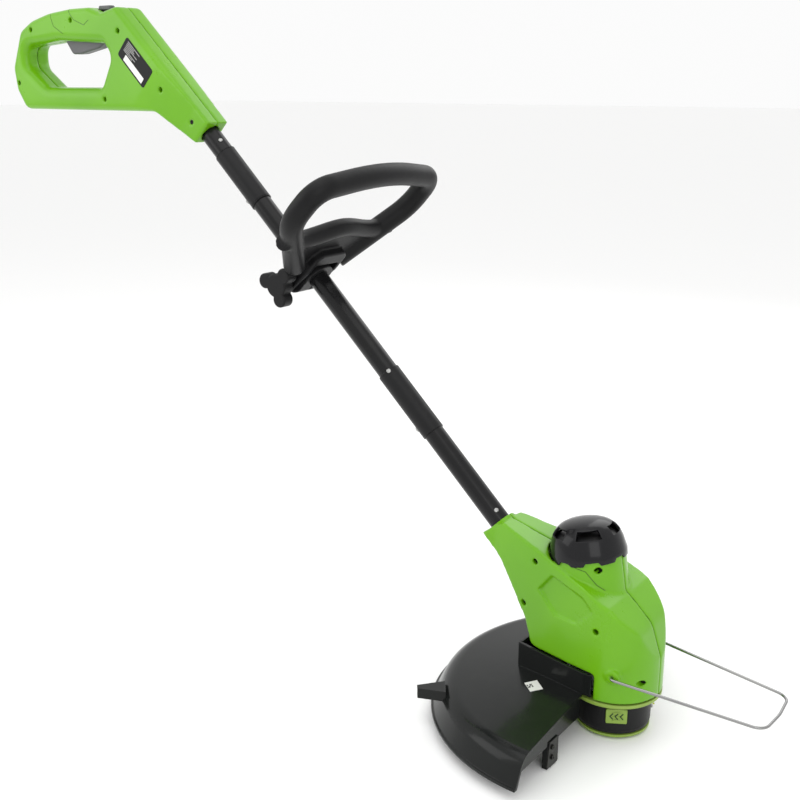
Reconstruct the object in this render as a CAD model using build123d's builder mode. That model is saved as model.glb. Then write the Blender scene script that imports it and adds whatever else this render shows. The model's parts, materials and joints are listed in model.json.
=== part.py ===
from build123d import *
import math
import os

# Corded string trimmer, millimetres. +X runs forward from the rear handle to the head, +Z is up
# and +Y is the user's left. The origin is the bump cap's bottom centre, on the spool's axis.

# ---- driving dimensions ----
shaft_angle = 43.8            # slope of the shaft above the ground, degrees
shaft_foot = (-44.7, 0, 100)  # a point on the shaft's axis, inside the head
tube_r = 12.5
tube_wall = 1.3
sleeve_r = 13.9
running_gap = 0.05            # radial clearance of tubes, pins and shafts in their bores
wall = 2.5                    # moulded shell thickness

button_r = 3.8                # snap buttons
lower_joint, upper_joint = 334.0, 694.0      # where tube ends meet, along the shaft
lower_button, upper_button = 300.0, 669.0
tube_foot, tube_head = 96.0, 838.0           # ends inside the head and the rear handle

handle_half = 24.0            # half width of the rear handle
neck_half = 18.6              # half width where the tube enters it
grip_round, hole_round = 8.0, 12.0           # rounding of its outer and inner long edges
screw_r, screw_bore = 1.4, 1.5
boss_r, recess_r = 4.5, 3.4

clamp_s, bolt_drop = 543.0, 24.0             # clamp bolt: along the shaft, and below its axis
loop_r = 13.5                 # radius of the front grip

cover_r = 41.7                # black spool cover
flange_r = 52.9               # lime drive flange, and the skirt above it
skirt_bottom = 49.8
body_bottom = 80.0            # lower edge of the head behind the skirt
tower_r, tower_lean = 41.0, 10.0
tower_top = (-41.0, 203.0)    # x and z of the tower's top centre
motor_r, motor_low, motor_high = 33.0, 62.0, 122.0

guard_r, guard_x = 199.0, -9.5
guard_top, guard_rim = 43.0, 12.0           # plate height at its edge, and the rim's bottom
guard_crown, crown_r = 54.0, 60.0             # the plate rises to this height round the head
guard_front = -12.5           # the guard ends at this x
wire_r = 1.6
wire_pivot = (20.0, 84.0)     # x and z of the guide wire's hinge

os.makedirs("parts", exist_ok=True)

tilt = math.radians(shaft_angle)
shaft_dir = (-math.cos(tilt), 0, math.sin(tilt))
shaft_up = (math.sin(tilt), 0, math.cos(tilt))
shaft_down = tuple(-u for u in shaft_up)


def on_shaft(along, above=0.0, left=0.0):
    # a point given by distance up the shaft, height above its axis and distance to the left
    steps = zip(shaft_foot, shaft_dir, shaft_up, (0, 1, 0))
    return tuple(f + along * d + above * u + left * y for f, d, u, y in steps)


def xz(along, above):
    x, _, z = on_shaft(along, above)
    return (x, z)


def across_shaft(along):
    # square to the shaft: local X is the user's right, local Y is above the shaft
    return Plane(origin=on_shaft(along), x_dir=(0, -1, 0), z_dir=shaft_dir)


def shaft_side(left=0.0):
    # side view of the shaft: local X runs up it, local Y is above it, the normal is +Y
    return Plane(origin=on_shaft(0, 0, left), x_dir=shaft_dir, z_dir=(0, 1, 0))


def side(left=0.0):
    # side view of the whole machine: local X is +X, local Y is +Z, the normal is the right
    return Plane(origin=(0, left, 0), x_dir=(1, 0, 0), z_dir=(0, -1, 0))


def write(part, name):
    part.label = name
    export_step(part, f"parts/{name}.step")


def turned(points, start=(0, 0, 0)):
    # a solid of revolution about the spool's axis, from (radius, height) points
    with BuildPart() as piece:
        with BuildSketch(Plane(origin=start, x_dir=(1, 0, 0), z_dir=(0, -1, 0))):
            with BuildLine():
                Polyline(*points, close=True)
            make_face()
        revolve(axis=Axis(start, (0, 0, 1)))
    return piece.part


def cross_rod(x, z, right, left, radius):
    # a round bar along Y between two sides, given as distances to the left of the mid plane
    with BuildPart() as rod:
        with BuildSketch(side(left)):
            with Locations((x, z)):
                Circle(radius)
        extrude(amount=left - right)
    return rod.part


# ---- shaft: three tubes, two sleeves, two snap buttons ----
def shaft_tube(name, start, end, outer, inner, button_at=None, lock=None):
    with BuildPart() as tube:
        with BuildSketch(across_shaft(start)):
            Circle(outer)
            Circle(inner, mode=Mode.SUBTRACT)
        extrude(amount=end - start)
        if button_at:
            with BuildSketch(Plane(origin=on_shaft(button_at), z_dir=shaft_down)):
                Circle(button_r + 0.3)
            extrude(amount=2 * tube_r, mode=Mode.SUBTRACT)
        if lock:                                  # hole for the screw that locks the tube
            with BuildSketch(lock):
                Circle(screw_bore)
            extrude(amount=2 * tube_r, mode=Mode.SUBTRACT)
    write(tube.part, name)


tube_bore = tube_r - tube_wall
handle_lock, head_lock = 793.0, 128.0
shaft_tube("lower_tube", tube_foot, lower_joint - 0.5, tube_r, tube_bore, lower_button,
           Plane(origin=on_shaft(head_lock), z_dir=shaft_down))
shaft_tube("middle_tube", lower_joint, upper_joint - 0.5, tube_r, tube_bore, upper_button)
shaft_tube("upper_tube", upper_joint, tube_head, tube_r, tube_bore, None,
           Plane(origin=on_shaft(handle_lock), z_dir=(0, -1, 0)))
shaft_tube("lower_sleeve", 285, 375, sleeve_r, tube_r + running_gap, lower_button)
shaft_tube("upper_sleeve", 654, 735, sleeve_r, tube_r + running_gap, upper_button)

for name, along in (("lower_snap_button", lower_button), ("upper_snap_button", upper_button)):
    below = Plane(origin=on_shaft(along), x_dir=shaft_dir, z_dir=shaft_down)
    with BuildPart() as button:
        with BuildSketch(below.offset(8.0)):
            Circle(button_r)
        extrude(amount=sleeve_r + 3.6 - 8.0)
        fillet(button.edges().sort_by(Axis((0, 0, 0), shaft_down))[-1], 1.6)
        with BuildSketch(below.offset(7.2)):
            Circle(button_r + 1.2)
        extrude(amount=0.8)
        with BuildSketch(shaft_side(-3)):         # leaf spring, bent up inside the tube
            with BuildLine():
                Polyline((along - 4, -7.2), (along + 6, -7.2), (along + 44, 5.5), (along + 56, 5.5),
                         (along + 56, 6.3), (along + 43.5, 6.3), (along + 6, -6.4), (along - 4, -6.4),
                         close=True)
            make_face()
        extrude(amount=6)
    write(button.part, name)


# ---- rear handle: two shells with a closed D grip ----
# each outline corner is (x, z) and its rounding
handle_outline = [
    ((-951, 768), 18), ((-974, 718), 20), ((-969, 686), 14), ((-952, 661), 12), ((-683, 661), 30),
    (xz(771, -15.2), 0), (xz(771, 20.5), 0), ((-745, 794.5), 12), ((-778, 787), 16),
    ((-803, 794.5), 14), ((-842, 794), 120), ((-888, 789.5), 120), ((-925, 781), 60)]
grip_hole = [((-944, 747), 14), ((-944, 719), 14), ((-903, 691), 16), ((-785, 691), 12),
             ((-762, 731), 14), ((-776, 748), 8), ((-870, 753), 40)]
handle_screws = [(-924, 769), (-836, 779), (-741, 763), xz(857, -6), (-776, 676), (-961, 697)]
inlet_back, inlet_front, inlet_z = -957.0, -930.0, 675.5     # power inlet in the rear end
inlet_half, inlet_height = 13.0, 18.0
trigger_pivot = (-795.0, 762.0)
trigger_half = 8.0
slide_x, slide_half = -787.0, 5.0             # lock-off button's place and half width


def rounded_outline(corners):
    FilletPolyline(*[point for point, _ in corners], radius=[r for _, r in corners], close=True)


def handle_block(inset, depth, neck_start):
    # half of the handle, from the mid plane out to the right
    with BuildPart() as block:
        with BuildSketch(side()):
            with BuildLine():
                rounded_outline(handle_outline)
            make_face()
            with BuildLine():
                rounded_outline(grip_hole)
            make_face(mode=Mode.SUBTRACT)
            if inset:
                offset(amount=-inset, kind=Kind.INTERSECTION)
        extrude(amount=depth)
        fillet(block.faces().sort_by(Axis.Y)[0].inner_wires()[0].edges(), hole_round - inset)
        fillet(block.faces().sort_by(Axis.Y)[0].outer_wire().edges(), grip_round - inset)
        plan = Plane(origin=on_shaft(0), x_dir=shaft_dir, z_dir=shaft_up)
        with BuildSketch(plan):
            with BuildLine():
                Polyline((neck_start, -1), (neck_start, neck_half - inset), (800, neck_half - inset),
                         (880, depth), (1400, depth), (1400, -1), close=True)
            make_face()
        extrude(amount=700, both=True, mode=Mode.INTERSECT)
    return block.part


handle_outer = handle_block(0, handle_half, 771)
handle_cavity = handle_block(wall, handle_half - wall, 806)

for name, right in (("handle_shell_right", True), ("handle_shell_left", False)):
    with BuildPart() as shell:
        add(handle_outer)
        add(handle_cavity, mode=Mode.SUBTRACT)
        with BuildSketch(side()):                 # screw bosses
            with Locations(*handle_screws):
                Circle(boss_r)
        extrude(amount=handle_half - wall + 0.2)
        with BuildSketch(side()):
            with Locations(*handle_screws, xz(handle_lock, 0)):
                Circle(screw_bore)
        extrude(amount=handle_half - 6 if not right else handle_half, mode=Mode.SUBTRACT)
        if right:                                 # screw head recesses
            with BuildSketch(side(-12)):
                with Locations(*handle_screws):
                    Circle(recess_r)
            extrude(amount=handle_half, mode=Mode.SUBTRACT)
            with BuildSketch(side(-15.5)):
                with Locations(xz(handle_lock, 0)):
                    Circle(recess_r)
            extrude(amount=handle_half, mode=Mode.SUBTRACT)
        with BuildSketch(across_shaft(760)):      # bore for the upper tube
            Circle(tube_r + running_gap)
        extrude(amount=tube_head + 1 - 760, mode=Mode.SUBTRACT)
        with BuildSketch(side()):                 # slot for the trigger
            with BuildLine():
                Polyline((-875, 740), (-782, 735), (-782, 766), (-875, 766), close=True)
            make_face()
        extrude(amount=trigger_half + 0.5, mode=Mode.SUBTRACT)
        with BuildSketch(side()):                 # opening for the lock-off button
            with Locations((slide_x, 792)):
                Rectangle(27, 20)
        extrude(amount=slide_half + 0.4, mode=Mode.SUBTRACT)
        with BuildSketch(side()):                 # opening for the power inlet
            with Locations((inlet_front - 30, inlet_z)):
                Rectangle(60, inlet_height + 0.4)
        extrude(amount=inlet_half + 0.2, mode=Mode.SUBTRACT)
        if not right:
            mirror(about=Plane.XZ, mode=Mode.REPLACE)
    write(shell.part, name)


# ---- inside the rear handle ----
pin_r = 2.0
with BuildPart() as trigger:
    with BuildSketch(side(trigger_half)):
        with BuildLine():
            rounded_outline([((-869, 765), 3), ((-869, 752), 4), ((-856, 735), 8), ((-838, 735.5), 30),
                             ((-800, 742.5), 20), ((-786.5, 750), 6), ((-786.5, 769), 7),
                             ((-802, 768), 2), ((-806, 765), 2)])
        make_face()
        with Locations(trigger_pivot):
            Circle(pin_r + running_gap, mode=Mode.SUBTRACT)
    extrude(amount=2 * trigger_half)
    lower_edges = trigger.edges().filter_by(lambda e: e.center().Z < 748)
    chamfer(lower_edges.filter_by(lambda e: abs(e.center().Y) > trigger_half - 0.1), 1.6)
write(trigger.part, "trigger")
write(cross_rod(*trigger_pivot, -17, 17, pin_r), "trigger_pin")

with BuildPart() as spring:                       # torsion spring beside the trigger
    with BuildSketch(side(13)):
        with Locations(trigger_pivot):
            Circle(5.2)
            Circle(3.6, mode=Mode.SUBTRACT)
    extrude(amount=4)
    with BuildSketch(side(13)):
        with Locations((trigger_pivot[0] + 4.4, trigger_pivot[1] + 5)):
            Rectangle(1.4, 10)
    extrude(amount=1.4)
write(spring.part, "trigger_spring")

with BuildPart() as lock_off:
    with BuildSketch(Plane.XY.offset(791.5)):
        with Locations((slide_x, 0)):
            RectangleRounded(26, 2 * slide_half, 4)
    extrude(amount=5.5)
    fillet(lock_off.edges().group_by(Axis.Z)[-1], 2)
    with BuildSketch(Plane.XY.offset(787.5)):
        with Locations((slide_x, 0)):
            Rectangle(9, 6)
    extrude(amount=4)
    with BuildSketch(Plane.XY.offset(774.5)):
        with Locations((slide_x, 0)):
            Rectangle(5, 4)
    extrude(amount=14)
write(lock_off.part, "lock_off_button")
with BuildPart() as spring:
    with BuildSketch(Plane.XY.offset(776)):
        with Locations((slide_x, 0)):
            Circle(5.0)
            Circle(4.0, mode=Mode.SUBTRACT)
    extrude(amount=8)
write(spring.part, "lock_off_spring")

with BuildPart() as switch:
    with BuildSketch(Plane.XY.offset(773.5)):
        with Locations((-816, 0)):
            Rectangle(24, 20)
    extrude(amount=14)
    with BuildSketch(Plane.XY.offset(770)):
        with Locations((-820, 0)):
            Rectangle(8, 6)
    extrude(amount=4)
write(switch.part, "switch")

with BuildPart() as inlet:                        # recessed inlet with two contact pins
    with BuildSketch(side(inlet_half)):
        with Locations(((inlet_back + inlet_front) / 2, inlet_z)):
            Rectangle(inlet_front - inlet_back, inlet_height)
    extrude(amount=2 * inlet_half)
    with BuildSketch(Plane(origin=(inlet_back, 0, inlet_z), x_dir=(0, 1, 0), z_dir=(1, 0, 0))):
        RectangleRounded(2 * inlet_half - 5, inlet_height - 4, 3)
    extrude(amount=14, mode=Mode.SUBTRACT)
write(inlet.part, "power_inlet")
with BuildPart() as pins:
    with BuildSketch(Plane(origin=(inlet_back + 4, 0, inlet_z), x_dir=(0, 1, 0), z_dir=(1, 0, 0))):
        with GridLocations(10, 1, 2, 1):
            Circle(2.0)
    extrude(amount=10)
write(pins.part, "inlet_pins")

cable_left = 6.0


def cable(name, points, bend, radius):
    with BuildPart() as run:
        with BuildLine() as path:
            FilletPolyline(*points, radius=bend)
        with BuildSketch(Plane(origin=path.line @ 0, z_dir=path.line % 0)):
            Circle(radius)
        sweep()
    write(run.part, name)


cable("handle_cable", [(-929.8, 8, 667.5), (-752, 8, 667.5), (-752, 8, 777), (-803.8, 8, 777)], 12, 2.2)
cable("motor_cable", [on_shaft(60, 0, cable_left), on_shaft(832, 0, cable_left),
                      on_shaft(862, 9, cable_left), on_shaft(905, 9, cable_left)], 18, 2.2)
with BuildPart() as connector:
    with BuildSketch(across_shaft(905.2)):
        with Locations((-cable_left, 9)):
            Rectangle(12, 8)
    extrude(amount=18)
write(connector.part, "cable_connector")

with BuildPart() as label:
    with BuildSketch(Plane(origin=on_shaft(911, -11, -handle_half), x_dir=shaft_dir, z_dir=(0, -1, 0))):
        RectangleRounded(63, 30, 3.5)
    extrude(amount=0.4)
write(label.part, "rating_label")

with BuildPart() as screws:
    with BuildSketch(side(-12.1)):
        with Locations(*handle_screws):
            Circle(3.0)
    extrude(amount=2.4)
    with BuildSketch(side(14)):
        with Locations(*handle_screws):
            Circle(screw_r)
    extrude(amount=26.2)
    with BuildSketch(side(-15.6)):
        with Locations(xz(handle_lock, 0)):
            Circle(3.0)
    extrude(amount=1.6)
    with BuildSketch(side(-9.5)):
        with Locations(xz(handle_lock, 0)):
            Circle(screw_r)
    extrude(amount=6.2)
write(screws.part, "handle_screws")


# ---- head: two shells, motor and cap ----
head_outline = [
    (xz(154, -18.2), 0), ((-143, 172), 60), ((-101, 112), 40), ((-90, 80), 8), ((-2, 80), 0),
    ((-2, skirt_bottom), 0), ((flange_r, skirt_bottom), 0), ((flange_r, 96), 12), ((40, 134), 26),
    ((12, 160), 12), ((-20, 176), 30), ((-84, 199), 14), ((-106, 205), 12), (xz(147, 17.5), 0)]
head_plan = [(-190, 18.2), (-150, 19), (-100, 32), (-38, 46.5), (-12, 51.5)]
head_screws = [(-88, 184), (-103, 128), (-13, 192), (-2, 131), (43, 74)]
head_screw_faces = [30, 27, 26, 43, 24]       # how far out each screw head sits
ear_r = 8.0


def tower_axis_point(up):
    lean = math.radians(tower_lean)
    return (tower_top[0] - up * math.sin(lean), 0, tower_top[1] + up * math.cos(lean))


tower_up = (-math.sin(math.radians(tower_lean)), 0, math.cos(math.radians(tower_lean)))


def head_block(inset, mouth):
    with BuildPart() as block:
        with BuildSketch(side(60)):
            with BuildLine():
                rounded_outline(head_outline)
            make_face()
            if inset:
                offset(amount=-inset, kind=Kind.INTERSECTION)
        extrude(amount=120)
        with BuildSketch(Plane.XY.offset(30)):
            with BuildLine():
                right_side = Polyline(*head_plan)
                ThreePointArc(right_side @ 1, (flange_r, 0), (head_plan[-1][0], -head_plan[-1][1]))
                left_side = Polyline(*[(x, -y) for x, y in reversed(head_plan)])
                Line(left_side @ 1, right_side @ 0)
            make_face()
            if inset:
                offset(amount=-inset, kind=Kind.INTERSECTION)
        extrude(amount=220, mode=Mode.INTERSECT)
        with BuildSketch(Plane(origin=tower_axis_point(0), x_dir=(0, 1, 0), z_dir=[-t for t in tower_up])):
            Circle(tower_r - inset)
        extrude(amount=70)
        with BuildSketch(across_shaft(mouth)):
            Circle(18.2 - inset)
        extrude(amount=60 - mouth)
    return block.part


head_outer = head_block(0, 152)
head_cavity = head_block(wall, 118)
lock_plane = Plane(origin=on_shaft(head_lock), x_dir=shaft_dir, z_dir=shaft_down)
tower_plane = Plane(origin=tower_axis_point(0), x_dir=(0, 1, 0), z_dir=tower_up)
cap_lap = 9.0                                     # how far the cap's skirt laps down the tower
guard_bolts = [(-76, -20), (-76, 20)]

with BuildPart() as head_bosses:                  # screw posts right across the head
    with BuildSketch(side(60)):
        with Locations(*head_screws):
            Circle(boss_r)
    extrude(amount=120)
    add(head_outer, mode=Mode.INTERSECT)

with BuildPart() as head_shell:
    add(head_outer)
    with BuildSketch(Plane.XY.offset(skirt_bottom - 1)):
        Circle(flange_r - wall)
    extrude(amount=body_bottom - skirt_bottom + 12, mode=Mode.SUBTRACT)
    add(head_cavity, mode=Mode.SUBTRACT)
    add(head_bosses.part)
    with BuildSketch(Plane.XY.offset(body_bottom)):          # posts for the guard's screws
        with Locations(*guard_bolts):
            Circle(boss_r)
    extrude(amount=12)
    with BuildSketch(side(53.4)):                 # raised ears round the guide wire's hinge
        with Locations(wire_pivot):
            Circle(ear_r)
    extrude(amount=8.9)
    with BuildSketch(side(-44.5)):
        with Locations(wire_pivot):
            Circle(ear_r)
    extrude(amount=8.9)
    for (x, z), face in zip(head_screws, head_screw_faces):
        with BuildSketch(side(20)):
            with Locations((x, z)):
                Circle(screw_bore)
        extrude(amount=80, mode=Mode.SUBTRACT)
        with BuildSketch(side(4 - face)):
            with Locations((x, z)):
                Circle(recess_r)
        extrude(amount=40, mode=Mode.SUBTRACT)
    with BuildSketch(Plane.XY.offset(body_bottom)):
        with Locations(*guard_bolts):
            Circle(screw_bore)
    extrude(amount=10, mode=Mode.SUBTRACT)
    with BuildSketch(side(70)):                   # bores for the guide wire
        with Locations(wire_pivot):
            Circle(wire_r + running_gap)
    extrude(amount=140, mode=Mode.SUBTRACT)
    with BuildSketch(across_shaft(60)):
        Circle(tube_r + running_gap)
    extrude(amount=110, mode=Mode.SUBTRACT)
    with BuildSketch(lock_plane):
        Circle(screw_bore)
    extrude(amount=40, mode=Mode.SUBTRACT)
    with BuildSketch(lock_plane.offset(15.4)):
        Circle(recess_r)
    extrude(amount=30, mode=Mode.SUBTRACT)
    with BuildSketch(tower_plane.offset(-1.2)):   # open top of the tower, under the cap
        Circle(tower_r + 2.6)
    extrude(amount=20, mode=Mode.SUBTRACT)
    with BuildSketch(tower_plane.offset(-cap_lap - 0.4)):
        Circle(tower_r + 2.6)
        Circle(tower_r - 0.1, mode=Mode.SUBTRACT)
    extrude(amount=20, mode=Mode.SUBTRACT)

for name, half in (("head_shell_right", Keep.TOP), ("head_shell_left", Keep.BOTTOM)):
    with BuildPart() as shell:
        add(head_shell.part)
        split(bisect_by=Plane.XZ, keep=half)
    write(shell.part, name)

with BuildPart() as screws:
    for (x, z), face in zip(head_screws, head_screw_faces):
        with BuildSketch(side(3.9 - face)):
            with Locations((x, z)):
                Circle(3.0)
        extrude(amount=2.4)
        with BuildSketch(side(18)):
            with Locations((x, z)):
                Circle(screw_r)
        extrude(amount=face + 14.2)
    with BuildSketch(lock_plane.offset(15.5)):
        Circle(3.0)
    extrude(amount=2.2)
    with BuildSketch(lock_plane.offset(9)):
        Circle(screw_r)
    extrude(amount=6.6)
write(screws.part, "head_screws")

# the vented cap on top of the leaning tower
cap_height, cap_skin, cap_gap = 33.0, 2.2, 0.25
vent_count, vent_width = 16, 3.6
with BuildPart() as cap:
    cap_outer = tower_r + cap_gap + cap_skin
    with BuildSketch(Plane(origin=tower_axis_point(0), x_dir=(0, 1, 0), z_dir=(1, 0, 0))):
        with BuildLine():
            Line((0, cap_height), (15, cap_height))
            Spline((15, cap_height), (32, 24.5), (cap_outer, 3), tangents=((1, -0.12), (0.1, -1)))
            Polyline((cap_outer, 3), (cap_outer, -cap_lap), (cap_outer - cap_skin, -cap_lap),
                     (cap_outer - cap_skin, 3))
            Spline((cap_outer - cap_skin, 3), (30, 22.3), (15, cap_height - cap_skin),
                   tangents=((-0.1, 1), (-1, 0.12)))
            Polyline((15, cap_height - cap_skin), (0, cap_height - cap_skin), (0, cap_height))
        make_face()
    revolve(axis=Axis(tower_axis_point(0), tower_up))
    with BuildSketch(tower_plane.offset(-cap_lap - 1)):      # crown teeth round the skirt
        with PolarLocations(cap_outer, 12):
            Rectangle(9, 8)
    extrude(amount=5, mode=Mode.SUBTRACT)
    with BuildSketch(tower_plane.offset(4)):      # radial vents
        with PolarLocations(29.5, vent_count, start_angle=90 / vent_count):
            SlotOverall(17, vent_width)
    extrude(amount=40, mode=Mode.SUBTRACT)
write(cap.part, "motor_cap")

# ---- motor, on the spool's axis ----
can_wall, shaft_r = 2.0, 4.0
with BuildPart() as can:
    with BuildSketch(Plane.XY.offset(motor_low)):
        Circle(motor_r)
    extrude(amount=motor_high - motor_low)
    with BuildSketch(Plane.XY.offset(motor_low + can_wall)):
        Circle(motor_r - can_wall)
    extrude(amount=motor_high - motor_low - 2 * can_wall, mode=Mode.SUBTRACT)
    for seat in (motor_low + can_wall, motor_high - can_wall - 5):
        with BuildSketch(Plane.XY.offset(seat)):
            Circle(11.5)
            Circle(9.5, mode=Mode.SUBTRACT)
        extrude(amount=5)
    with BuildSketch(Plane.XY.offset(motor_low - 1)):
        Circle(shaft_r + 1)
        with PolarLocations(20, 2, start_angle=45):
            Circle(screw_bore)
    extrude(amount=motor_high - motor_low + 2, mode=Mode.SUBTRACT)
    with BuildSketch(Plane.XY.offset(motor_high - can_wall - 1)):
        with PolarLocations(24, 6):
            SlotOverall(14, 5, rotation=90)
    extrude(amount=can_wall + 2, mode=Mode.SUBTRACT)
write(can.part, "motor_can")

with BuildPart() as magnets:
    for start in (20, 200):
        with BuildSketch(Plane.XY.offset(72)):
            with BuildLine():
                outer = CenterArc((0, 0), motor_r - can_wall - 0.1, start, 140)
                inner = CenterArc((0, 0), 24.5, start, 140)
                Line(outer @ 0, inner @ 0)
                Line(outer @ 1, inner @ 1)
            make_face()
        extrude(amount=34)
write(magnets.part, "field_magnets")

with BuildPart() as rotor:
    with BuildSketch(Plane.XY.offset(74)):
        Circle(23)
        Circle(shaft_r, mode=Mode.SUBTRACT)
        with PolarLocations(20.5, 10):
            Rectangle(6, 3, mode=Mode.SUBTRACT)
    extrude(amount=29)
write(rotor.part, "rotor_core")
with BuildPart() as windings:
    for low in (70.2, 103):
        with BuildSketch(Plane.XY.offset(low)):
            Circle(19.5)
            Circle(shaft_r + 1, mode=Mode.SUBTRACT)
        extrude(amount=3.8 if low < 90 else 3.6)
write(windings.part, "rotor_windings")
write(turned([(shaft_r, 107.5), (9, 107.5), (9, 114.5), (shaft_r, 114.5)]), "commutator")
with BuildPart() as brushes:
    for out in (1, -1):
        with BuildSketch(Plane.XY.offset(108.5)):
            with Locations((0, out * 16.7)):
                Rectangle(5, 14.4)
        extrude(amount=5)
write(brushes.part, "brushes")
with BuildPart() as bearings:
    for low in (motor_low + can_wall, motor_high - can_wall - 5):
        with BuildSketch(Plane.XY.offset(low)):
            Circle(9.45)
            Circle(shaft_r + running_gap, mode=Mode.SUBTRACT)
        extrude(amount=5)
write(bearings.part, "bearings")
write(turned([(0, 20), (shaft_r, 20), (shaft_r, 124.4), (3.4, 125), (0, 125)]), "motor_shaft")

with BuildPart() as plate:
    with BuildSketch(Plane.XY.offset(motor_low - 2.3)):
        Circle(flange_r - wall - 0.3)
        Circle(14, mode=Mode.SUBTRACT)
        with PolarLocations(20, 2, start_angle=45):
            Circle(screw_bore, mode=Mode.SUBTRACT)
    extrude(amount=2.2)
write(plate.part, "motor_plate")
with BuildPart() as screws:
    for low, height, radius in ((motor_low - 3.5, 1.15, 3.0), (motor_low - 2.4, 4.2, screw_r)):
        with BuildSketch(Plane.XY.offset(low)):
            with PolarLocations(20, 2, start_angle=45):
                Circle(radius)
        extrude(amount=height)
write(screws.part, "motor_screws")

with BuildPart() as fan:
    with BuildSketch(Plane.XY.offset(50.5)):
        Circle(44)
        Circle(shaft_r, mode=Mode.SUBTRACT)
    extrude(amount=1.5)
    with BuildSketch(Plane.XY.offset(50.5)):
        Circle(9)
        Circle(shaft_r, mode=Mode.SUBTRACT)
    extrude(amount=7)
    with BuildSketch(Plane.XY.offset(52)):
        with PolarLocations(28, 9):
            Rectangle(30, 1.6, rotation=18)
    extrude(amount=5.5)
write(fan.part, "motor_fan")

# ---- spool head ----
flange_low, flange_high = 43.8, 48.8
cover_inner = cover_r - 1.8
spool_low, spool_high = 9.5, 37.5
latch_angle, eyelet_angle, line_z = 300.0, 30.0, 23.0
write(turned([(shaft_r, 16), (7, 16), (7, 31), (11, 31), (11, flange_low), (flange_r - 1.5, flange_low),
              (flange_r, flange_low + 1.5), (flange_r, flange_high), (shaft_r, flange_high)]),
      "drive_flange")


def radial(angle, reach, height):
    # a plane square to the spool's radius: local X runs round the spool, local Y is up
    turn = math.radians(angle)
    out = (math.cos(turn), math.sin(turn), 0)
    return Plane(origin=(reach * out[0], reach * out[1], height), x_dir=(-out[1], out[0], 0), z_dir=out)


window = (24.0, 18.0)
window_z = 29.0
with BuildPart() as cover:
    add(turned([(27.6, 5.6), (cover_r - 5, 5.6), (cover_r - 1, 7.2), (cover_r, 11), (cover_r, 43.5),
                (cover_inner, 43.5), (cover_inner, 11), (cover_inner - 1.6, 8), (27.6, 8)]))
    for turn in (0, 180):
        with BuildSketch(radial(latch_angle + turn, 34, window_z)):
            RectangleRounded(*window, 2)
        extrude(amount=12, mode=Mode.SUBTRACT)
        with BuildSketch(radial(eyelet_angle + turn, 34, line_z)):
            Circle(3.5)
        extrude(amount=12, mode=Mode.SUBTRACT)
write(cover.part, "spool_cover")
with BuildPart() as ring:
    add(turned([(28, 0.8), (cover_r - 3.5, 0.8), (cover_r - 0.5, 3), (cover_r - 0.5, 5.5), (28, 5.5)]))
    with BuildSketch(Plane.XY):
        with PolarLocations(34.4, 12):
            SlotOverall(8, 3, rotation=90)
    extrude(amount=2.4, mode=Mode.SUBTRACT)
write(ring.part, "cover_ring")
write(turned([(0, 0), (21, 0), (26, 1.2), (27, 3.5), (27, 9.4), (11, 9.4), (11, 3), (0, 3)]), "bump_cap")
write(turned([(11.6, spool_low), (36, spool_low), (36, 12), (15, 12), (15, 35), (36, 35), (36, spool_high),
              (11.6, spool_high)]), "spool")
write(turned([(15.1, 12.1), (32.5, 12.1), (33, 14), (33, 33), (32.5, 34.9), (15.1, 34.9)]), "line_winding")

with BuildPart() as spring:
    spring_turns, spring_low, spring_high = 6, 3.9, 29.9
    with BuildLine() as coil:
        Helix(pitch=(spring_high - spring_low) / spring_turns, height=spring_high - spring_low, radius=9.3,
              center=(0, 0, spring_low))
    with BuildSketch(Plane(origin=coil.line @ 0, z_dir=coil.line % 0)):
        Circle(0.6)
    sweep(is_frenet=True)
write(spring.part, "spool_spring")

for name, angle in (("latch_right", latch_angle), ("latch_left", latch_angle - 180)):
    with BuildPart() as latch:
        with BuildSketch(radial(angle, cover_inner - 0.9, window_z)):
            RectangleRounded(window[0] - 0.8, window[1] - 0.8, 1.6)
        extrude(amount=2.8)
        with BuildSketch(radial(angle, cover_inner - 1.9, 35.8)):
            Rectangle(10, 15)
        extrude(amount=1.05)
        for low in (-4.5, 0, 4.5):                # three engraved chevrons
            with BuildSketch(radial(angle, cover_inner + 1.4, window_z + low)):
                with BuildLine():
                    Polyline((-5, -1), (0, 1), (5, -1), (5, 0.4), (0, 2.4), (-5, 0.4), close=True)
                make_face()
            extrude(amount=2, mode=Mode.SUBTRACT)
    write(latch.part, name)

with BuildPart() as eyelets:
    for turn in (0, 180):
        with BuildSketch(radial(eyelet_angle + turn, 39, line_z)):
            Circle(3.45)
            Circle(1.6, mode=Mode.SUBTRACT)
        extrude(amount=3.2)
        with BuildSketch(radial(eyelet_angle + turn, 42.0, line_z)):
            Circle(4.6)
            Circle(1.6, mode=Mode.SUBTRACT)
        extrude(amount=1.4)
write(eyelets.part, "line_eyelets")
with BuildPart() as line_tips:
    for turn in (0, 180):
        with BuildSketch(radial(eyelet_angle + turn, 37, line_z)):
            Circle(1.0)
        extrude(amount=9)
write(line_tips.part, "line_tips")

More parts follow.
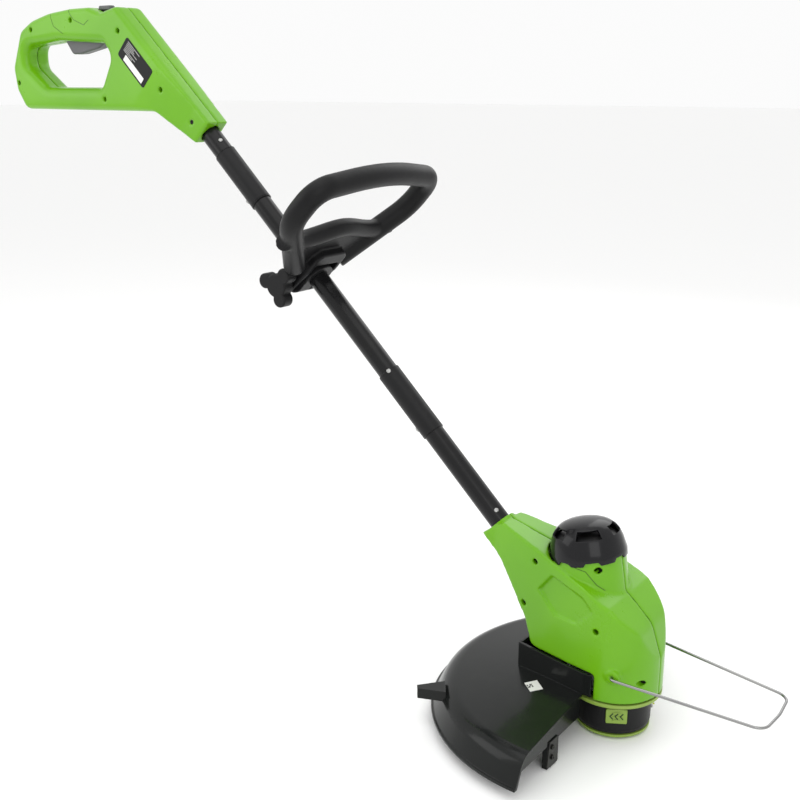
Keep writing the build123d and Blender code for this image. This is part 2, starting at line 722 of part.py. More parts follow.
# ---- guard and its line cutter ----
guard_skin, cut_r = 3.0, 57.0
clearance_z = guard_top - guard_skin
blade_y = -126.0
with BuildPart() as guard:
    with BuildSketch(Plane(origin=(guard_x, 0, 0), x_dir=(-1, 0, 0), z_dir=(0, 1, 0))):
        with BuildLine():
            FilletPolyline((0, guard_crown), (crown_r, guard_crown), (182, guard_top),
                           (guard_r - 2.5, 15), (guard_r, 14.6), (guard_r, guard_rim),
                           (guard_r - 5.5, guard_rim), (180.5, clearance_z),
                           (crown_r, guard_crown - guard_skin), (0, guard_crown - guard_skin),
                           radius=[0, 0, 22, 1, 1, 0, 0, 19, 0, 0], close=True)
        make_face()
    revolve(axis=Axis((guard_x, 0, 0), (0, 0, 1)))
    with BuildSketch(Plane.XY):
        with Locations((guard_front + 250, 0)):
            Rectangle(500, 500)
    extrude(amount=90, mode=Mode.SUBTRACT)
    for out in (1, -1):                           # stiffening webs along the front edge
        with BuildSketch(Plane.YZ.offset(guard_front - 3.5)):
            with BuildLine():
                Polyline((out * 58, 28), (out * 58, 52.5), (out * 168, 42.5), (out * 178, 39),
                         (out * 184, 34), (out * 186.5, 28), close=True)
            make_face()
        extrude(amount=3)
    with BuildSketch(Plane.XY):                   # the left end is cut back at a slant
        with BuildLine():
            Polyline((guard_front - 0.5, 108), (-62, 220), (60, 220), (60, 108), close=True)
        make_face()
    extrude(amount=90, mode=Mode.SUBTRACT)
    with BuildSketch(Plane.XY.offset(31)):        # pointed wear tab on the rim
        with BuildLine():
            Polyline((-146, -124), (-176, -136), (-181, -130), (-160, -104), close=True)
        make_face()
    extrude(amount=12)
    with BuildSketch(Plane.XY.offset(0)):         # bracket for the cutter blade
        with Locations((guard_front - 3.5, blade_y + 8)):
            Rectangle(6, 24)
    extrude(amount=guard_top - 1)
    with BuildSketch(Plane.XY.offset(clearance_z)):          # wall round the head's underside
        with BuildLine():
            right_side = Polyline(*head_plan)
            Line(right_side @ 1, (40, head_plan[-1][1]))
            Line((40, head_plan[-1][1]), (40, -head_plan[-1][1]))
            left_side = Polyline(*[(x, -y) for x, y in reversed(head_plan)])
            Line((40, -head_plan[-1][1]), left_side @ 0)
            Line(left_side @ 1, right_side @ 0)
        make_face()
        offset(amount=4)
        offset(amount=-3, mode=Mode.SUBTRACT)
        with Locations((-53.8, 0)):
            Rectangle(102.4, 140, mode=Mode.INTERSECT)
    extrude(amount=79.6 - clearance_z)
    with BuildSketch(Plane.XY.offset(clearance_z)):
        with Locations((-103.5, 0)):
            Rectangle(3, 62)
        with Locations(*guard_bolts):
            Circle(6)
    extrude(amount=79.6 - clearance_z)
    with BuildSketch(Plane.XY.offset(clearance_z - 2)):
        Circle(cut_r)
    extrude(amount=guard_crown - clearance_z + 2, mode=Mode.SUBTRACT)
    with BuildSketch(Plane.XY.offset(clearance_z - 2)):
        Circle(flange_r + 1)
    extrude(amount=50, mode=Mode.SUBTRACT)
    with BuildSketch(Plane.XY.offset(clearance_z - 1)):
        with Locations(*guard_bolts):
            Circle(recess_r)
    extrude(amount=30, mode=Mode.SUBTRACT)
    with BuildSketch(Plane.XY.offset(clearance_z)):
        with Locations(*guard_bolts):
            Circle(screw_bore)
    extrude(amount=50, mode=Mode.SUBTRACT)
    with BuildSketch(Plane.YZ.offset(guard_front - 8)):
        with Locations((blade_y + 4, 12), (blade_y + 4, 24)):
            Circle(screw_bore)
    extrude(amount=8, mode=Mode.SUBTRACT)
write(guard.part, "guard")
with BuildPart() as blade:
    with BuildSketch(Plane.YZ.offset(guard_front - 0.5)):
        with BuildLine():
            Polyline((blade_y - 6, 4), (blade_y + 1, 1), (blade_y + 16, 1), (blade_y + 16, 32),
                     (blade_y - 2, 32), close=True)
        make_face()
        with Locations((blade_y + 4, 12), (blade_y + 4, 24)):
            Circle(1.6, mode=Mode.SUBTRACT)
    extrude(amount=1.4)
write(blade.part, "line_cutter")
with BuildPart() as screws:
    for start, length, radius in ((guard_front + 0.9, 1.6, 2.8), (guard_front - 6.5, 7.5, screw_r)):
        with BuildSketch(Plane.YZ.offset(start)):
            with Locations((blade_y + 4, 12), (blade_y + 4, 24)):
                Circle(radius)
        extrude(amount=length)
write(screws.part, "cutter_screws")
with BuildPart() as screws:
    for low, height, radius in ((clearance_z + 26.8, 2.0, 3.0), (clearance_z + 28.7, 16, screw_r)):
        with BuildSketch(Plane.XY.offset(low)):
            with Locations(*guard_bolts):
                Circle(radius)
        extrude(amount=height)
write(screws.part, "guard_screws")
label_out, label_turn = 88.0, math.radians(230)      # distance and direction from the guard's centre
crown_slope = (guard_crown - guard_top) / (182 - crown_r)
label_dir = (math.cos(label_turn), math.sin(label_turn))
label_place = (guard_x + label_out * label_dir[0], label_out * label_dir[1],
               guard_crown - crown_slope * (label_out - crown_r))
with BuildPart() as label:
    with BuildSketch(Plane(origin=label_place, x_dir=(-label_dir[1], label_dir[0], 0),
                           z_dir=(crown_slope * label_dir[0], crown_slope * label_dir[1], 1))):
        Rectangle(19, 15)
    extrude(amount=0.4)
write(label.part, "guard_label")

# ---- guide wire, hinged in the head's two ears ----
wire_front = [(20, -44, 84), (20, -57.5, 84), (181, -39, 73.2), (184, 0, 73), (181, 39, 73.2),
              (20, 57.5, 84), (20, 44, 84)]
with BuildPart() as guide_wire:
    with BuildLine() as path:
        FilletPolyline(*wire_front, radius=[4, 15, 80, 15, 4])
    with BuildSketch(Plane(origin=path.line @ 0, z_dir=path.line % 0)):
        Circle(wire_r)
    sweep()
write(guide_wire.part, "guide_wire")

# ---- front handle on its clamp ----
lug_half, bolt_r = 21.0, 3.0
bolt_at = (clamp_s, -bolt_drop)
with BuildPart() as saddle:
    with BuildSketch(across_shaft(clamp_s - 17)):
        Circle(21)
        with Locations((0, -20)):
            Rectangle(2 * lug_half, 26)
        Circle(tube_r + running_gap, mode=Mode.SUBTRACT)
        with Locations((0, -24)):
            Rectangle(3, 30, mode=Mode.SUBTRACT)
    extrude(amount=34)
    with BuildSketch(shaft_side(-40)):
        with Locations(bolt_at):
            Circle(bolt_r + running_gap)
    extrude(amount=80, mode=Mode.SUBTRACT)
    with BuildSketch(shaft_side(-40)):            # round the lugs about the bolt
        with BuildLine():
            Polyline((clamp_s - 17, -bolt_drop + 9), (clamp_s - 17, 30), (clamp_s + 17, 30),
                     (clamp_s + 17, -bolt_drop + 9))
            ThreePointArc((clamp_s + 17, -bolt_drop + 9), (clamp_s, -bolt_drop - 10),
                          (clamp_s - 17, -bolt_drop + 9))
        make_face()
    extrude(amount=80, mode=Mode.INTERSECT)
write(saddle.part, "clamp_saddle")

loop_path = [(-40, 12), (-113, 100), (-110, 152), (0, 170), (110, 152), (113, 100), (40, 12)]
loop_bends = [50, 26, 350, 26, 50]
ear_in, ear_out, ear_rounding = 21.6, 28.5, 11.0
tilt_reach = 49.0             # hollow round the bolt, so that the loop can tilt over the clamp
with BuildPart() as loop:
    loop_plane = across_shaft(clamp_s)
    with BuildLine(loop_plane) as path:
        FilletPolyline(*loop_path, radius=loop_bends)
    with BuildSketch(Plane(origin=path.line @ 0, z_dir=path.line % 0)):
        Circle(loop_r)
    sweep()
    with BuildSketch(loop_plane.offset(-4.5)):    # web under the bridge bar
        with BuildLine():
            Polyline((-30, 24), (-44, 24), (-96, 74), (96, 74), (44, 24), (30, 24), close=True)
        make_face()
    extrude(amount=9)
    with BuildLine(loop_plane) as bar:
        Spline((-100, 66), (-40, 68), (0, 75), (40, 68), (100, 66))
    with BuildSketch(Plane(origin=bar.line @ 0, z_dir=bar.line % 0)):
        Circle(11)
    sweep()
    with BuildSketch(loop_plane.offset(-15)):     # saddle block over the shaft
        with BuildLine():
            Polyline((-ear_out, 8), (-ear_out, 34), (-20, 42), (20, 42), (ear_out, 34), (ear_out, 8),
                     close=True)
        make_face()
    extrude(amount=30)
    for out in (1, -1):                           # ears down to the clamp bolt
        with BuildSketch(shaft_side(out * ear_out)):
            with BuildLine():
                Polyline((clamp_s - 15, 12), (clamp_s - ear_rounding, -bolt_drop))
                ThreePointArc((clamp_s - ear_rounding, -bolt_drop), (clamp_s, -bolt_drop - ear_rounding),
                              (clamp_s + ear_rounding, -bolt_drop))
                Polyline((clamp_s + ear_rounding, -bolt_drop), (clamp_s + 15, 12), (clamp_s - 15, 12))
            make_face()
            with Locations(bolt_at):
                Circle(bolt_r + running_gap, mode=Mode.SUBTRACT)
        extrude(amount=-out * (ear_out - ear_in))
    with BuildSketch(shaft_side(-ear_in)):        # clear the clamp at every tilt
        with BuildLine():
            ThreePointArc((clamp_s - tilt_reach, -bolt_drop), (clamp_s, -bolt_drop + tilt_reach),
                          (clamp_s + tilt_reach, -bolt_drop))
            Line((clamp_s - tilt_reach, -bolt_drop), (clamp_s + tilt_reach, -bolt_drop))
        make_face()
    extrude(amount=2 * ear_in, mode=Mode.SUBTRACT)
write(loop.part, "loop_handle")

with BuildPart() as bolt:
    with BuildSketch(shaft_side(ear_out + 5.2)):
        with Locations(bolt_at):
            Circle(bolt_r)
    extrude(amount=-(2 * ear_out + 17))
    with BuildSketch(shaft_side(-ear_out - 8.5)):
        with Locations(bolt_at):
            RegularPolygon(5.5, 6)
    extrude(amount=-3.4)
write(bolt.part, "clamp_bolt")
with BuildPart() as nut:
    with BuildSketch(shaft_side(ear_out)):
        with Locations(bolt_at):
            RegularPolygon(5.6, 6)
            Circle(bolt_r + running_gap, mode=Mode.SUBTRACT)
    extrude(amount=5.0)
write(nut.part, "clamp_nut")
with BuildPart() as knob:
    with BuildSketch(shaft_side(-ear_out - 1)):
        with Locations(bolt_at):
            Circle(10)
    extrude(amount=-3)
    with BuildSketch(shaft_side(-ear_out - 4)):
        with Locations(bolt_at):
            Circle(15)
            with PolarLocations(18, 3, start_angle=90):
                Circle(9.5)
    extrude(amount=-16)
    fillet(knob.faces().sort_by(Axis.Y)[0].edges(), 2)
    with BuildSketch(shaft_side(-ear_out - 8.4)):
        with Locations(bolt_at):
            RegularPolygon(5.6, 6)
    extrude(amount=-3.6, mode=Mode.SUBTRACT)
    with BuildSketch(shaft_side(0)):
        with Locations(bolt_at):
            Circle(bolt_r + 0.02)
    extrude(amount=-ear_out - 10, mode=Mode.SUBTRACT)
write(knob.part, "clamp_knob")
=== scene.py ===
import json
import math

import bpy
from mathutils import Matrix, Vector


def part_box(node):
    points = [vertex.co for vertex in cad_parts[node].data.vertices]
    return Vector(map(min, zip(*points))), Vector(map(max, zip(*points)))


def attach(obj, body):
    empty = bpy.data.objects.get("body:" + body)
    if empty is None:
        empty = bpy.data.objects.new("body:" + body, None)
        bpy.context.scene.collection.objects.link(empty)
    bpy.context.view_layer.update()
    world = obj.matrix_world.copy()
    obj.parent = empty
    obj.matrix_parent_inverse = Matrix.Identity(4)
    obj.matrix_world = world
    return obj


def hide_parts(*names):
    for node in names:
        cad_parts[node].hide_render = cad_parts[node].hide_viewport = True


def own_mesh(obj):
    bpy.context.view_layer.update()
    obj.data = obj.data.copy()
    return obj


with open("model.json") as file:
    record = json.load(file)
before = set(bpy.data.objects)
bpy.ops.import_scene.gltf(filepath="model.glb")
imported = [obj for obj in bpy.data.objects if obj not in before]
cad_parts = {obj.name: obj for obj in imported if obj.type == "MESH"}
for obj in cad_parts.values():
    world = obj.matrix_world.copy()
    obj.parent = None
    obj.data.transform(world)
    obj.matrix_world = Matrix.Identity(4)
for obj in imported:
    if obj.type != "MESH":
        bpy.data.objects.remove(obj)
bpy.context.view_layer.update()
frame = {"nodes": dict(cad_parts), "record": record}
nodes = frame["nodes"]
scene = bpy.context.scene

# shaft line, as the model has it
shaftFoot = Vector((-0.0447, 0, 0.100))
shaftTilt = math.radians(43.8)
shaftDir = Vector((-math.cos(shaftTilt), 0, math.sin(shaftTilt)))
shaftUp = Vector((math.sin(shaftTilt), 0, math.cos(shaftTilt)))
rightward = Vector((0, -1, 0))
print("frame loaded")


def onShaft(along, above=0.0, right=0.0):
    return shaftFoot + shaftDir * along + shaftUp * above + rightward * right


def turnedTo(zDir, xDir, place):
    # a placing matrix from a local Z, a rough local X and a point
    z = zDir.normalized()
    y = z.cross(xDir).normalized()
    x = y.cross(z)
    return Matrix.Translation(place) @ Matrix((x, y, z)).transposed().to_4x4()


# view and light
view = {"place": (0.46250, -1.04597, 0.69936), "pitch": 73.99, "turn": 36.07, "lens": 50, "sensor": 36}
bpy.ops.object.camera_add(location=view["place"],
                          rotation=(math.radians(view["pitch"]), 0, math.radians(view["turn"])))
camera = bpy.context.object
camera.data.lens = view["lens"]
camera.data.sensor_width = view["sensor"]
scene.camera = camera

lamps = {
    "overhead": {"place": (-0.2, -0.5, 2.1), "aim": (-0.35, 0, 0.3), "size": 1.9, "power": 10},
    "front": {"place": (1.5, -1.5, 1.3), "aim": (-0.2, 0, 0.25), "size": 1.3, "power": 9},
    "left": {"place": (-1.7, -1.2, 1.2), "aim": (-0.5, 0, 0.4), "size": 1.2, "power": 7},
    "rim": {"place": (-0.3, 1.7, 1.5), "aim": (-0.3, 0, 0.3), "size": 1.4, "power": 8}}
for lampName, lamp in lamps.items():
    towards = Vector(lamp["aim"]) - Vector(lamp["place"])
    bpy.ops.object.light_add(type="AREA", location=lamp["place"],
                             rotation=towards.to_track_quat("-Z", "Y").to_euler())
    bpy.context.object.name = lampName
    bpy.context.object.data.size = lamp["size"]
    bpy.context.object.data.energy = lamp["power"]
surround = {"colour": (1, 1, 1), "strength": 0.97}
world = bpy.data.worlds.new("softbox")
world.use_nodes = True
world.node_tree.nodes["Background"].inputs["Color"].default_value = (*surround["colour"], 1)
world.node_tree.nodes["Background"].inputs["Strength"].default_value = surround["strength"]
scene.world = world
scene.view_settings.view_transform = "Standard"
print("view and light set")


# shader helpers
class Value:
    # a node socket that can be used in plain arithmetic
    def __init__(self, tree, socket):
        self.tree = tree
        self.socket = socket

    def make(self, kind, settings, values, output=0):
        node = self.tree.nodes.new(kind)
        for key, setting in settings.items():
            setattr(node, key, setting)
        for key, value in values.items():
            if isinstance(value, Value):
                self.tree.links.new(value.socket, node.inputs[key])
            elif value is not None:
                node.inputs[key].default_value = value
        return Value(self.tree, node.outputs[output])

    def sum(self, operation, *others):
        values = {0: self}
        for i, other in enumerate(others):
            values[i + 1] = other
        return self.make("ShaderNodeMath", {"operation": operation}, values)

    def __add__(self, other):
        return self.sum("ADD", other)

    def __mul__(self, other):
        return self.sum("MULTIPLY", other)

    def __sub__(self, other):
        return self.sum("SUBTRACT", other)

    def __rsub__(self, other):
        return self.make("ShaderNodeMath", {"operation": "SUBTRACT"}, {0: other, 1: self})

    __radd__ = __add__
    __rmul__ = __mul__

    def between(self, low, high):
        # 0 below low, 1 above high
        return self.make("ShaderNodeMapRange", {"interpolation_type": "SMOOTHSTEP"},
                         {"Value": self, "From Min": low, "From Max": high})


def linear(red, green, blue):
    # screen colour, 0 to 255, as a shader colour
    return tuple(c / 12.92 if c <= 0.04045 else ((c + 0.055) / 1.055) ** 2.4
                 for c in (red / 255, green / 255, blue / 255))


surface = {"dustColour": (0.42, 0.40, 0.36), "bumpDistance": 0.0002, "coatRoughness": 0.08,
           "pitHeight": 1.2}


def finish(name, look):
    # a moulded, painted or metal surface with grain, colour drift, rubbed edges and settled dust
    material = bpy.data.materials.new(name)
    material.use_nodes = True
    tree = material.node_tree
    shader = tree.nodes["Principled BSDF"]
    start = Value(tree, None)
    place = start.make("ShaderNodeTexCoord", {}, {}, "Object")

    def noise(scale, detail=3.0, rough=0.5):
        return start.make("ShaderNodeTexNoise", {}, {"Vector": place, "Scale": scale, "Detail": detail,
                                                     "Roughness": rough}, "Fac")

    drift = noise(look.get("driftScale", 9.0))
    grain = noise(look.get("grainScale", 2200.0), 2.0)
    scuff = noise(look.get("scuffScale", 60.0), 6.0, 0.7)
    flat = start.make("ShaderNodeNewGeometry", {}, {}, "Normal")
    soft = start.make("ShaderNodeBevel", {"samples": 4}, {"Radius": look.get("edge", 0.0009)})
    likeness = start.make("ShaderNodeVectorMath", {"operation": "DOT_PRODUCT"}, {0: flat, 1: soft},
                          "Value")
    edge = (1 - likeness).between(0.02, 0.25)
    up = start.make("ShaderNodeSeparateXYZ", {}, {"Vector": flat}, "Z")
    rub = edge * scuff.between(0.35, 0.75) * look.get("wear", 0.3)
    dust = up.between(0.2, 1.0) * scuff.between(0.45, 0.8) * look.get("dust", 0.05)

    def blend(share, under, over):
        return start.make("ShaderNodeMix", {"data_type": "RGBA"},
                          {"Factor": share, "A": under, "B": over}, 2)

    body = blend(drift.between(0.3, 0.7), (*look["colour"], 1), (*look["shade"], 1))
    rubbed = blend(rub, body, (*look["worn"], 1))
    dusty = blend(dust, rubbed, (*surface["dustColour"], 1))
    tree.links.new(dusty.socket, shader.inputs["Base Color"])
    rough = drift * 0.08 + scuff * look.get("scuff", 0.10) + dust + look["roughness"] - 0.08
    tree.links.new(rough.socket, shader.inputs["Roughness"])
    height = grain * look.get("grain", 1.0)
    if "pits" in look:                        # spark-eroded cells
        cells = start.make("ShaderNodeTexVoronoi", {}, {"Vector": place, "Scale": look["pits"]}, "Distance")
        height = height + cells * surface["pitHeight"]
    bump = start.make("ShaderNodeBump", {}, {"Height": height + scuff * 0.4, "Normal": soft,
                                             "Strength": look.get("bump", 0.12),
                                             "Distance": surface["bumpDistance"]})
    tree.links.new(bump.socket, shader.inputs["Normal"])
    shader.inputs["Metallic"].default_value = look.get("metal", 0.0)
    shader.inputs["Specular IOR Level"].default_value = look.get("gloss", 0.5)
    shader.inputs["Coat Weight"].default_value = look.get("coat", 0.0)
    shader.inputs["Coat Roughness"].default_value = surface["coatRoughness"]
    material.diffuse_color = (*look["colour"], 1)
    return material


finishes = {
    "green_shell": {
        "colour": linear(104, 168, 14), "shade": linear(97, 160, 12), "worn": linear(150, 204, 78),
        "roughness": 0.30, "bump": 0.08, "wear": 0.2, "dust": 0.01, "coat": 0.12, "pits": 1500.0,
        "edge": 0.0016, "scuff": 0.06, "gloss": 0.3},
    "black_shell": {
        "colour": linear(24, 24, 25), "shade": linear(20, 20, 21), "worn": linear(60, 60, 60),
        "roughness": 0.40, "bump": 0.18, "wear": 0.3, "dust": 0.03, "pits": 1300.0, "gloss": 0.2},
    "guard_black": {
        "colour": linear(22, 24, 23), "shade": linear(18, 20, 19), "worn": linear(60, 62, 60),
        "roughness": 0.22, "bump": 0.03, "wear": 0.2, "dust": 0.01, "coat": 0.16, "driftScale": 5.0,
        "edge": 0.0014, "scuff": 0.07, "gloss": 0.15},
    "grip_black": {
        "colour": linear(22, 22, 23), "shade": linear(18, 18, 19), "worn": linear(50, 50, 50),
        "roughness": 0.42, "bump": 0.22, "wear": 0.2, "dust": 0.02, "pits": 900.0, "gloss": 0.16},
    "lime": {
        "colour": linear(140, 166, 70), "shade": linear(128, 158, 58), "worn": linear(190, 205, 140),
        "roughness": 0.40, "bump": 0.12, "wear": 0.40, "dust": 0.08, "pits": 1400.0},
    "tube_black": {
        "colour": linear(18, 18, 19), "shade": linear(15, 15, 16), "worn": linear(90, 90, 90),
        "roughness": 0.27, "bump": 0.06, "wear": 0.3, "dust": 0.02, "coat": 0.12, "gloss": 0.2},
    "steel": {
        "colour": linear(176, 176, 174), "shade": linear(150, 150, 149), "worn": linear(215, 215, 213),
        "roughness": 0.34, "bump": 0.10, "metal": 1.0, "dust": 0.02, "edge": 0.0003},
    "wire_steel": {
        "colour": linear(158, 158, 157), "shade": linear(138, 138, 138), "worn": linear(190, 190, 190),
        "roughness": 0.20, "bump": 0.04, "metal": 1.0, "dust": 0.01, "edge": 0.0003},
    "aluminium": {
        "colour": linear(190, 191, 193), "shade": linear(170, 171, 173), "worn": linear(220, 220, 221),
        "roughness": 0.42, "bump": 0.15, "metal": 1.0, "dust": 0.02},
    "trigger_grey": {
        "colour": linear(88, 88, 90), "shade": linear(78, 78, 80), "worn": linear(128, 128, 128),
        "roughness": 0.42, "bump": 0.16, "wear": 0.4, "dust": 0.03, "pits": 1300.0},
    "copper": {
        "colour": linear(186, 106, 62), "shade": linear(150, 82, 46), "worn": linear(214, 140, 98),
        "roughness": 0.35, "bump": 0.3, "metal": 1.0, "dust": 0.0},
    "magnet": {
        "colour": linear(58, 58, 62), "shade": linear(46, 46, 50), "worn": linear(90, 90, 94),
        "roughness": 0.6, "bump": 0.25, "dust": 0.02},
    "line": {
        "colour": linear(186, 196, 74), "shade": linear(166, 178, 60), "worn": linear(210, 214, 130),
        "roughness": 0.35, "bump": 0.1, "dust": 0.02, "edge": 0.0002},
    "cable": {
        "colour": linear(22, 22, 23), "shade": linear(18, 18, 19), "worn": linear(60, 60, 60),
        "roughness": 0.5, "bump": 0.2, "dust": 0.03, "edge": 0.0003, "gloss": 0.2},
    "label_dark": {
        "colour": linear(16, 16, 17), "shade": linear(13, 13, 14), "worn": linear(70, 70, 70),
        "roughness": 0.40, "bump": 0.03, "dust": 0.01, "edge": 0.0002, "gloss": 0.2},
    "label_light": {
        "colour": linear(226, 226, 222), "shade": linear(214, 214, 209), "worn": linear(190, 190, 186),
        "roughness": 0.36, "bump": 0.03, "coat": 0.2, "dust": 0.05, "edge": 0.0002},
    "groove_green": {
        "colour": linear(38, 66, 8), "shade": linear(32, 56, 6), "worn": linear(50, 80, 14),
        "roughness": 0.6, "bump": 0.05, "dust": 0.02, "edge": 0.0002},
    "cap_black": {
        "colour": linear(22, 22, 24), "shade": linear(18, 18, 20), "worn": linear(60, 60, 62),
        "roughness": 0.20, "bump": 0.03, "coat": 0.2, "dust": 0.02, "edge": 0.0006, "gloss": 0.15},
    "screw_dark": {
        "colour": linear(60, 60, 58), "shade": linear(48, 48, 47), "worn": linear(110, 110, 108),
        "roughness": 0.38, "bump": 0.1, "metal": 1.0, "dust": 0.02, "edge": 0.0002},
    "print_grey": {
        "colour": linear(185, 185, 183), "shade": linear(165, 165, 163), "worn": linear(90, 90, 88),
        "roughness": 0.4, "bump": 0.03, "dust": 0.03, "edge": 0.0001}}
materials = {name: finish(name, look) for name, look in finishes.items()}
slotOf = {entry["node"]: entry["material_slot"] for entry in frame["record"]["subparts"]}
darkNodes = ("head_screws", "motor_screws", "line_cutter")
for name, node in nodes.items():
    node.data.materials.clear()
    node.data.materials.append(materials["screw_dark" if name in darkNodes else slotOf[name]])
bpy.ops.object.select_all(action="DESELECT")
print("materials made")


# modelling helpers
mergeReach = 0.000002
sideReach = 0.2


def activate(piece):
    if bpy.context.object and bpy.context.object.mode != "OBJECT":
        bpy.ops.object.mode_set(mode="OBJECT")
    bpy.ops.object.select_all(action="DESELECT")
    piece.select_set(True)
    bpy.context.view_layer.objects.active = piece


def pick(kind, test):
    # selects the vertices, edges or polygons that pass a test, and stays in edit mode
    bpy.ops.object.mode_set(mode="EDIT")
    bpy.ops.mesh.select_mode(type={"vertices": "VERT", "edges": "EDGE", "polygons": "FACE"}[kind])
    bpy.ops.mesh.select_all(action="DESELECT")
    bpy.ops.object.mode_set(mode="OBJECT")
    for item in getattr(bpy.context.object.data, kind):
        item.select = test(item)
    bpy.ops.object.mode_set(mode="EDIT")


def modify(piece, kind, **settings):
    activate(piece)
    modifier = piece.modifiers.new(kind.lower(), kind)
    for key, setting in settings.items():
        setattr(modifier, key, setting)
    bpy.ops.object.modifier_apply(modifier=modifier.name)


def carve(piece, cutter):
    modify(piece, "BOOLEAN", operation="DIFFERENCE", object=cutter, solver="EXACT")
    bpy.data.objects.remove(cutter)


def placeBy(piece, matrix):
    piece.matrix_world = matrix
    activate(piece)
    bpy.ops.object.transform_apply(location=True, rotation=True, scale=True)


def joined(parts):
    activate(parts[0])
    for part in parts[1:]:
        part.select_set(True)
    bpy.ops.object.join()
    return bpy.context.object


def complete(piece, name, slot, body, replaced=(), material=None, angle=38):
    activate(piece)
    bpy.ops.object.transform_apply(location=True, rotation=True, scale=True)
    piece.name = name
    piece.data.name = name
    piece.data.materials.clear()
    piece.data.materials.append(materials[material or slot])
    bpy.ops.object.shade_smooth_by_angle(angle=math.radians(angle))
    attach(piece, body)
    if replaced:
        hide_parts(*replaced)
    return piece


def mergedCopy(nodeName):
    piece = bpy.data.objects.new(nodeName + "Copy", nodes[nodeName].data.copy())
    scene.collection.objects.link(piece)
    activate(piece)
    bpy.ops.object.mode_set(mode="EDIT")
    bpy.ops.mesh.select_all(action="SELECT")
    bpy.ops.mesh.remove_doubles(threshold=mergeReach)
    bpy.ops.object.mode_set(mode="OBJECT")
    return piece


def soften(piece, voxel, passes, broad=0, crisp=(), reach=0.0075, fade=0.004):
    # rounds every edge of a moulding, and more broadly away from the crisp (x, z) places
    modify(piece, "REMESH", mode="VOXEL", voxel_size=voxel)
    modify(piece, "SMOOTH", factor=0.5, iterations=passes)
    if broad:
        weights = piece.vertex_groups.new(name="broad")
        for vertex in piece.data.vertices:
            near = min(math.hypot(vertex.co.x - x, vertex.co.z - z) for x, z in crisp)
            weights.add([vertex.index], min(1.0, max(0.0, (near - reach) / fade)), "REPLACE")
        modify(piece, "SMOOTH", factor=0.5, iterations=broad, vertex_group="broad")
        piece.vertex_groups.clear()


def screwPlaces(nodeName):
    # the (x, z) of each separate screw that runs across the machine
    piece = mergedCopy(nodeName)
    bpy.ops.object.mode_set(mode="EDIT")
    bpy.ops.mesh.select_all(action="SELECT")
    bpy.ops.mesh.separate(type="LOOSE")
    bpy.ops.object.mode_set(mode="OBJECT")
    places = []
    for single in list(bpy.context.selected_objects):
        xs = [v.co.x for v in single.data.vertices]
        zs = [v.co.z for v in single.data.vertices]
        places.append(((min(xs) + max(xs)) / 2, (min(zs) + max(zs)) / 2))
        bpy.data.objects.remove(single)
    return places


def bodyOf(nodeName):
    for body, members in frame["record"]["behaviour"]["bodies"].items():
        if nodeName in members:
            return body


def prism(corners, near, far):
    # a closed prism along Y from (x, z) corners
    bpy.ops.mesh.primitive_circle_add(vertices=len(corners), radius=1, fill_type="NGON")
    piece = bpy.context.object
    for vertex, (x, z) in zip(piece.data.vertices, corners):
        vertex.co = (x, near, z)
    bpy.ops.object.mode_set(mode="EDIT")
    bpy.ops.mesh.select_all(action="SELECT")
    bpy.ops.mesh.extrude_region_move(TRANSFORM_OT_translate={"value": (0, far - near, 0)})
    bpy.ops.mesh.select_all(action="SELECT")
    bpy.ops.mesh.normals_make_consistent(inside=False)
    bpy.ops.object.mode_set(mode="OBJECT")
    return piece


def wireThrough(points, radius, sides=2):
    # a thin closed tube along points
    curve = bpy.data.curves.new("line", "CURVE")
    curve.dimensions = "3D"
    curve.bevel_depth = radius
    curve.bevel_resolution = sides
    curve.use_fill_caps = True
    spline = curve.splines.new("POLY")
    spline.points.add(len(points) - 1)
    for point, place in zip(spline.points, points):
        point.co = (*place, 1)
    piece = bpy.data.objects.new("line", curve)
    scene.collection.objects.link(piece)
    activate(piece)
    bpy.ops.object.convert(target="MESH")
    return bpy.context.object


def acrossSurface(piece, path, steps, side):
    # points of an (x, z) path laid on a piece's outer side
    points = []
    for (x0, z0), (x1, z1) in zip(path, path[1:]):
        for step in range(steps):
            t = step / steps
            start = Vector((x0 + (x1 - x0) * t, side * sideReach, z0 + (z1 - z0) * t))
            hit, place, _, _ = piece.ray_cast(start, Vector((0, -side, 0)))
            if hit:
                points.append(place)
    return points


# head casing: two shells with a recessed side panel and a line round the cooling tower
casing = {"voxel": 0.00125, "passes": 5, "broad": 16, "lineWidth": 0.00035,
          "panelDepth": 0.0030, "panelBack": 0.0026, "backSpread": 1.06, "floorTaper": 0.93,
          "sideStart": (-0.038, 0.0465), "sideSlope": 0.0145 / 0.062,
          "panel": [(-0.0646, 0.1780), (-0.0190, 0.1660), (-0.0030, 0.1520), (-0.0260, 0.1290),
                    (-0.0580, 0.1290), (-0.0850, 0.1530)],
          "towerLine": [(-0.0770, 0.2010), (-0.0500, 0.1960), (-0.0240, 0.1905), (-0.0120, 0.1760),
                        (-0.0030, 0.1690)],
          "sharp": [(0.0200, 0.0840), (-0.1380, 0.1960), (-0.1250, 0.2080)]}
crispPlaces = screwPlaces("head_screws") + casing["sharp"]
for (x0, z0), (x1, z1) in zip(casing["panel"], casing["panel"][1:] + casing["panel"][:1]):
    crispPlaces += [(x0 + (x1 - x0) * t / 5, z0 + (z1 - z0) * t / 5) for t in range(5)]
panelMiddle = sum((Vector((x, 0, z)) for x, z in casing["panel"]), Vector()) / len(casing["panel"])
casings = {}


def sideDistance(x, side, depth):
    # the casing side's distance from the middle at x, less a depth
    startX, startY = casing["sideStart"]
    return side * (startY + (x - startX) * casing["sideSlope"] - depth)


def aroundPanel(place, share):
    return panelMiddle.xz + (place.xz - panelMiddle.xz) * share


